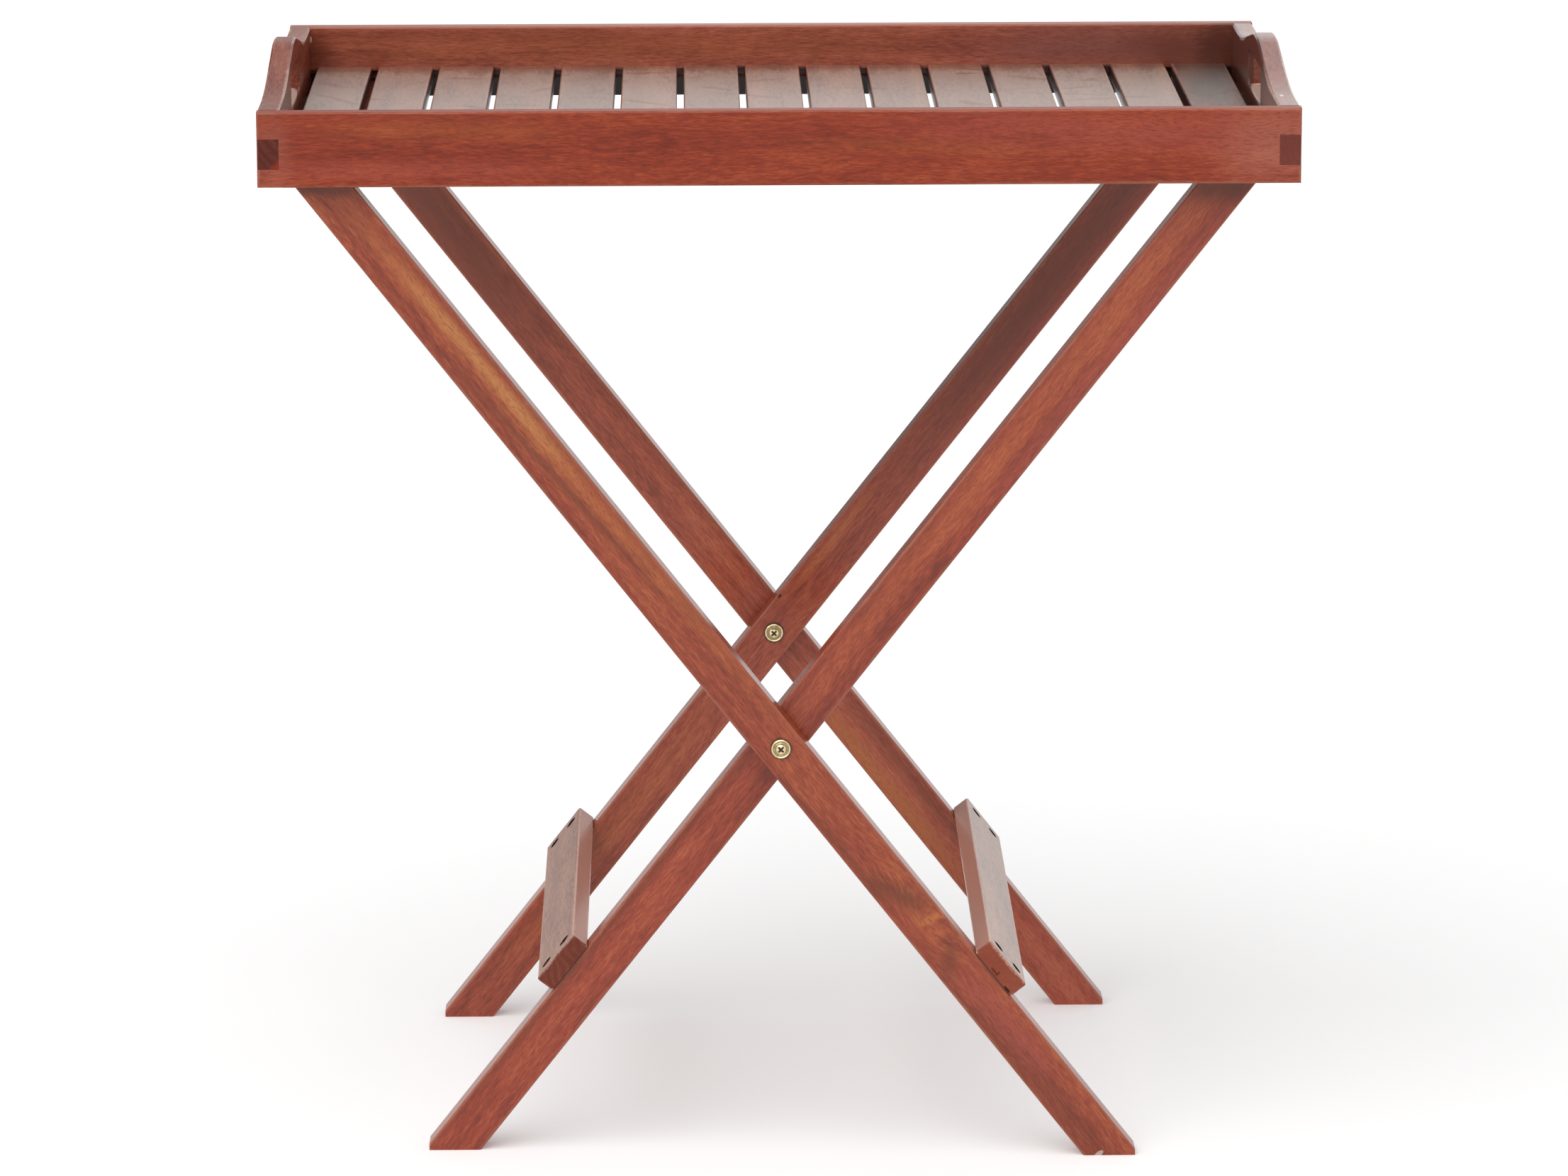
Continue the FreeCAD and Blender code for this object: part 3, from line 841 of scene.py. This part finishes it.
def cross_recess(x, y, reach, half_arm, depth):
    """Depth of a cross pressed in with sloping walls: the distance inside the nearer arm's outline,
    up to the full depth, which itself gets less towards the arms' ends."""
    upright = np.minimum(half_arm - abs(x), reach - abs(y))
    level = np.minimum(half_arm - abs(y), reach - abs(x))
    walls = np.clip(np.maximum(upright, level) / (cross_wall_share * half_arm), 0.0, 1.0)
    floor_depth = depth * (1.0 - cross_end_loss * np.hypot(x, y) / reach)
    return walls * np.clip(floor_depth, 0.0, None)


def hex_socket(x, y, reach, wall, depth):
    """Depth of a six-sided socket: full inside the hexagon whose flats are reach from the middle, but
    for the slope of its wall."""
    flats = [abs(x * math.cos(a) + y * math.sin(a)) for a in (math.pi / 6, math.pi / 2, 5 * math.pi / 6)]
    return np.clip((reach - np.maximum.reduce(flats)) / wall, 0.0, 1.0) * depth


def along_profile(corners):
    """The corners of a profile with points added so that none is further than a step from the next."""
    corners = np.array(corners, float)
    pieces = [corners[:1]]
    for a, b in zip(corners[:-1], corners[1:]):
        count = max(1, math.ceil(np.linalg.norm(b - a) / profile_step))
        pieces.append(a + (b - a) * np.linspace(0, 1, count + 1)[1:, None])
    return np.concatenate(pieces)


def turned(profile, recess, recess_sizes):
    """Points and quads of a profile of (radius, height) pairs carried once round the axis, less the
    recess where the face looks up. The first and last pairs are on the axis, where the ring closes."""
    radius, height = np.array(profile).T
    angle = np.linspace(0.0, 2 * np.pi, turn_steps, endpoint=False)
    x = radius[:, None] * np.cos(angle)
    y = radius[:, None] * np.sin(angle)
    z = np.broadcast_to(height[:, None], x.shape).copy()
    upper = (np.arange(len(radius)) <= np.argmax(radius))[:, None]
    z -= np.where(upper, recess(x, y, *recess_sizes), 0.0)
    points = np.stack([x, y, z], -1).reshape(-1, 3)
    row, col = np.meshgrid(np.arange(len(radius) - 1), np.arange(turn_steps), indexing="ij")
    nxt = (col + 1) % turn_steps
    quads = np.stack([row * turn_steps + col, (row + 1) * turn_steps + col,
                      (row + 1) * turn_steps + nxt, row * turn_steps + nxt], -1).reshape(-1, 4)
    return points, quads


print("turned with", turn_steps, "steps a round, points every", profile_step, "mm")

# %% [markdown]
# ## Standing them in place
# A turned solid is made upright at the origin. Each copy is then laid along its own direction by
# three axes, and all the copies that ride on one body are one piece. Every ring of the profile has
# the same count of points, also the two on the axis, so a Weld modifier closes those poles.

# %% Turned pieces
weld_within = 0.01 * metres_per_mm


def turned_piece(name, places, profile, recess, recess_sizes, material, body, node):
    """One piece of several turned solids in mm, each stood at a place (base, direction of its head)."""
    points, quads = turned(profile, recess, recess_sizes)
    all_points, all_quads = [], []
    for base, up in places:
        side = Vector(up).orthogonal().normalized()
        axes = np.array([side, Vector(up).cross(side), Vector(up)])
        all_quads.append(quads + len(points) * len(all_points))
        all_points.append(np.array(base) + metres_per_mm * points @ axes)
    piece = new_piece(name, np.concatenate(all_points), np.concatenate(all_quads), material)
    weld = piece.modifiers.new("close_poles", "WELD")
    weld.merge_threshold = weld_within
    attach(piece, body)
    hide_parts(node)
    return piece


print("poles welded within", weld_within / metres_per_mm, "mm")

# %% [markdown]
# ## Where the heads sit
# The packed model says where the heads are. A bolt's head ends at the farthest of its points from
# the middle of the table, and a nut's at the nearest. The flat under a head lies a head's height
# from there, and the shank takes up the rest.

# %% Heads and shanks
head_height = 3.2
head_radius = 6.0
head_profile = [(0.0, head_height), (1.2, 3.12), (2.1, 2.88), (2.8, 2.45), (3.25, 1.85), (3.5, 0.7),
                (3.9, 0.4), (4.4, 0.45), (4.85, 1.0), (5.3, 1.25), (5.75, 1.05), (5.95, 0.6),
                (head_radius, 0.0)]
bolt_reach = np.abs(points_of("pivot_bolts")[:, 1])
bolt_face = bolt_reach.max() - head_height * metres_per_mm
bolt_length = (bolt_face - bolt_reach.min()) / metres_per_mm
nut_reach = np.abs(points_of("pivot_sleeve_nuts")[:, 1])
nut_face = nut_reach.min() + head_height * metres_per_mm
nut_length = (nut_reach.max() - nut_face) / metres_per_mm
print("bolt and nut lengths in mm:", round(bolt_length, 1), round(nut_length, 1))

# %% [markdown]
# ## Metal finishes
# The heads are plated yellow, and have gone dull where no cloth reaches: in the dish and in the
# recess. The plank screws are dull zinc all over. One recipe makes both, because only the colours
# and the places of the dirt differ, and those come in as values and as a function.

# %% Brass and steel finishes
speck_size, scratch_size = (1.2, 1.2, 1.2), (3.0, 0.12, 0.3)
scratch_strength, scratch_height = 0.15, 0.03 * metres_per_mm
speck_depth, speck_shade = 0.25, 0.55
dirt_least, dirt_by_specks = 0.75, 0.5
speck_roughness, dirt_roughness, dirt_cover = 0.12, 0.25, 0.6
dish_from, dish_to, dish_dirt = (3.3, 3.8), (4.95, 4.5), 0.45
recess_within, recess_below = (2.7, 2.3), (2.5, 1.9)
socket_dirt_size = (3.0, 3.0, 3.0)


def metal(name, colour, dull, roughness, grime):
    """Plated metal with fine scratches. grime is a function of the place in mm that gives, from 0 to 1,
    how much dull dirt lies there."""
    material, start = new_material(name)
    p = place_in_mm(start, pivot)
    specks = grain_noise(p, speck_size, seed=5, detail=3.0, roughness=0.6)
    scratches = grain_noise(p, scratch_size, seed=9)
    dirt = grime(p) * (dirt_least + dirt_by_specks * specks)
    clean = (speck_depth * specks).blend(colour, tuple(speck_shade * c for c in colour))
    bump = p.node("ShaderNodeBump", {}, {"Height": scratches + specks, "Strength": scratch_strength,
                                         "Distance": scratch_height})
    skin = p.node("ShaderNodeBsdfPrincipled", {}, {
        "Base Color": dirt.blend(clean, dull), "Metallic": 1.0 - dirt_cover * dirt, "Normal": bump,
        "Roughness": roughness + speck_roughness * specks + dirt_roughness * dirt})
    start.node("ShaderNodeOutputMaterial", {}, {"Surface": skin})
    return material


def head_grime(p):
    """Dirt of a pivot head: in the dish between rim and button, and in the recess, which is where the
    face lies lower than the button's top. Radius and height are those of the place about the pivot."""
    x, y, z = p.parts()
    radius = (x * x + z * z) ** 0.5
    height = (abs(y) - bolt_face / metres_per_mm).most(nut_face / metres_per_mm - abs(y))
    dish = dish_dirt * radius.rise(*dish_from) * radius.rise(*dish_to)
    return dish.most(radius.rise(*recess_within) * height.rise(*recess_below))


def socket_grime(p):
    """Dirt of a plank screw, in patches all over its face."""
    return grain_noise(p, socket_dirt_size, seed=2)


brass = metal("yellow_plate", (0.78, 0.66, 0.40), dull=(0.045, 0.028, 0.013), roughness=0.12,
              grime=head_grime)
steel = metal("dull_zinc", (0.28, 0.26, 0.24), dull=(0.03, 0.026, 0.022), roughness=0.45,
              grime=socket_grime)
print("metals:", brass.name, "and", steel.name)

# %% [markdown]
# ## The pivots and the screws
# The bolts' heads look outwards and the nuts' heads inwards, on the front and on the back. A
# plank's screws look up out of its upper face, from places that their own points give.

# %% Pivot bolts and sleeve nuts
bolt_radius, sleeve_radius = 2.4, 3.95
recess_of_head = (2.35, 0.62, 1.7)


def pin_profile(radius, length):
    """A head's profile, closed by a plain shank of that radius that goes down by length."""
    return np.concatenate([along_profile(head_profile), [(radius, 0.0), (radius, -length), (0.0, -length)]])


bolt_places = [((pivot.x, side * bolt_face, pivot.z), (0, side, 0)) for side in (-1, 1)]
turned_piece("pivot_bolt_heads", bolt_places, pin_profile(bolt_radius, bolt_length),
             cross_recess, recess_of_head, brass, "outer_frame", "pivot_bolts")
nut_places = [((pivot.x, side * nut_face, pivot.z), (0, -side, 0)) for side in (-1, 1)]
turned_piece("pivot_nut_heads", nut_places, pin_profile(sleeve_radius, nut_length),
             cross_recess, recess_of_head, brass, "outer_frame", "pivot_sleeve_nuts")
print("pivot heads:", len(bolt_places) + len(nut_places))

# %% Plank screws
screw_radius, screw_chamfer = 3.9, 0.5
socket_of_screw = (2.0, 0.15, 2.6)


def screw_places(side):
    """Top middle and direction of the four screws of a plank, and their length in mm."""
    middle, axes, _ = sticks[side + "_lower_plank"]
    middles, (low, high) = screws_of(side)
    up, top = (axes.col[2], high) if axes.col[2].z > 0 else (-axes.col[2], -low)
    places = []
    for u, v in middles:
        from_middle = axes.col[0] * u + axes.col[1] * v + up * top
        places.append((middle + metres_per_mm * from_middle, up))
    return places, high - low


for side in ("outer", "inner"):
    places, length = screw_places(side)
    top = [(0.0, 0.0), (screw_radius - screw_chamfer, 0.0), (screw_radius, -screw_chamfer)]
    profile = np.concatenate([along_profile(top), [(screw_radius, -length), (0.0, -length)]])
    turned_piece(side + "_furniture_screws", places, profile, hex_socket, socket_of_screw, steel,
                 side + "_frame", side + "_plank_screws")
    print(side, "plank screws:", len(places), "length in mm:", round(length, 1))

# %% [markdown]
# ## Nylon washers
# A thin black washer keeps each crossing pair of legs from rubbing. It is moulded plastic, so it
# gets a soft sheen with a slight unevenness and nothing else.

# %% Washers
moulded_size = (1.5, 1.5, 1.5)
ripple_strength, ripple_height = 0.2, 0.05 * metres_per_mm
nylon_black, nylon_grey = (0.020, 0.018, 0.016), (0.050, 0.045, 0.040)
nylon_roughness, ripple_roughness = 0.42, 0.15
washer, start = new_material("black_nylon")
p = place_in_mm(start)
uneven = grain_noise(p, moulded_size, seed=3, detail=3.0)
ripple = p.node("ShaderNodeBump", {}, {"Height": uneven, "Strength": ripple_strength,
                                       "Distance": ripple_height})
nylon = p.node("ShaderNodeBsdfPrincipled", {}, {
    "Base Color": uneven.blend(nylon_black, nylon_grey), "Normal": ripple,
    "Roughness": nylon_roughness + ripple_roughness * uneven})
start.node("ShaderNodeOutputMaterial", {}, {"Surface": nylon})
put_on("pivot_washers", washer)
print("washers:", washer.name)

# %% [markdown]
